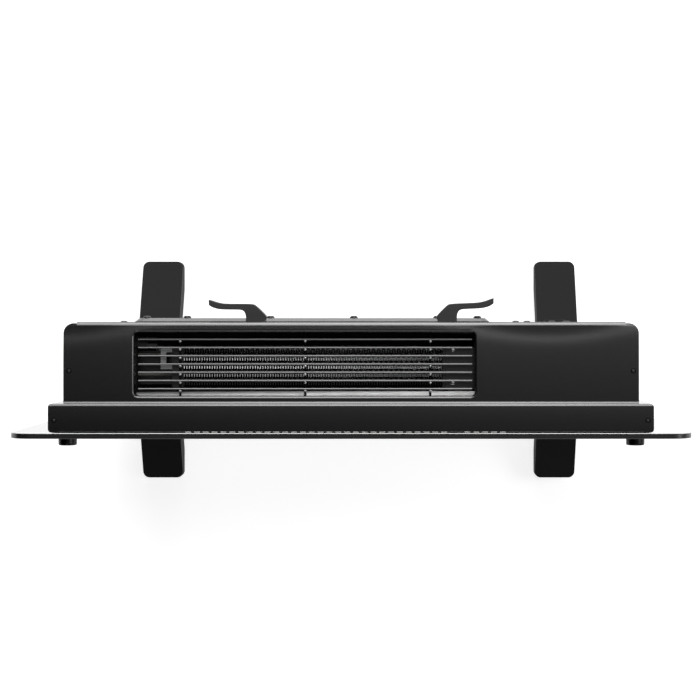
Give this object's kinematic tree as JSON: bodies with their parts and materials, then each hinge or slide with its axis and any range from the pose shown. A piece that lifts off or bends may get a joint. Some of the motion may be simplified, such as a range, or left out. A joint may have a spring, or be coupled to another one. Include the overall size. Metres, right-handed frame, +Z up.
{
  "type": "ceramic fan heater",
  "caption": "Free-standing fan heater with a wide black glass front, a shallow sheet-steel body, a wire-covered air outlet in its top, cord hooks on its back and arched feet.",
  "frame": {"origin": "on the floor, midway between the feet", "axes": "+X to the right seen from the front, +Y to the rear, +Z up"},
  "size_m": [0.6, 0.234, 0.42],
  "materials": {
    "glass_black": "toughened glass, black on its back, polished edges",
    "cap_metal": "black, satin",
    "steel_black": "fine black powder coat, satin",
    "steel_galvanised": "galvanised sheet",
    "steel_zinc": "zinc plated",
    "wire_plated": "nickel plated wire",
    "aluminium_fin": "bare folded strip",
    "aluminium_wheel": "bare sheet",
    "ceramic_grey": "matt heating ceramic",
    "plastic_black": "fine grain, matt",
    "plastic_gloss": "smooth",
    "plastic_heat": "heat-resistant moulding",
    "plastic_white": "natural nylon",
    "rubber_black": "matt",
    "brass_strip": "bare",
    "coil_copper": "varnished winding",
    "lead_silicone": "silicone sleeve",
    "board_green": "circuit board"
  },
  "bodies": {
    "heater": {"glass_panel": "glass_black", "glass_caps": "cap_metal", "glass_studs": "steel_zinc", "glass_washers": "rubber_black", "front_plate": "steel_black", "front_casing": "steel_black", "top_panel": "steel_black", "rear_casing": "steel_black", "rear_cover": "steel_black", "outlet_grille": "wire_plated", "cord_hook_left": "plastic_black", "cord_hook_right": "plastic_black", "foot_left": "plastic_black", "foot_right": "plastic_black", "foot_pads": "rubber_black", "foot_screws": "steel_zinc", "ptc_fins": "aluminium_fin", "ptc_bars": "ceramic_grey", "ptc_holders": "plastic_heat", "ptc_terminals": "brass_strip", "element_bracket_left": "steel_black", "element_bracket_right": "steel_black", "element_leads": "lead_silicone", "lead_block": "plastic_heat", "thermal_cutout": "plastic_heat", "scroll_plate": "steel_galvanised", "tongue_plate": "steel_black", "end_plate_left": "steel_galvanised", "end_plate_right": "steel_galvanised", "bearing_mount": "rubber_black", "bearing_bush": "brass_strip", "motor_stator": "steel_zinc", "motor_coil": "coil_copper", "motor_straps": "steel_zinc", "motor_bolts": "steel_zinc", "cord_gland": "plastic_black", "gland_nut": "plastic_black", "switch_housing": "plastic_black", "control_bracket": "steel_galvanised", "control_board": "board_green", "board_posts": "plastic_white", "board_parts": "plastic_gloss", "wire_harness": "lead_silicone", "tilt_switch": "plastic_white", "touch_board": "board_green", "touch_posts": "plastic_white"},
    "fan": {"blower_wheel": "aluminium_wheel", "blower_shaft": "steel_zinc", "motor_rotor": "steel_zinc"},
    "rocker": {"switch_rocker": "plastic_gloss"}
  },
  "joints": [
    {"name": "fan_spin", "type": "hinge", "parent": "heater", "child": "fan", "pos_m": [-0.041, 0.0195, 0.322], "axis": [1, 0, 0], "continuous": true},
    {"name": "switch_tilt", "type": "hinge", "parent": "heater", "child": "rocker", "pos_m": [0.2505, 0.01575, 0.13], "axis": [0, 1, 0], "range_deg": [-16, 0]}
  ]
}
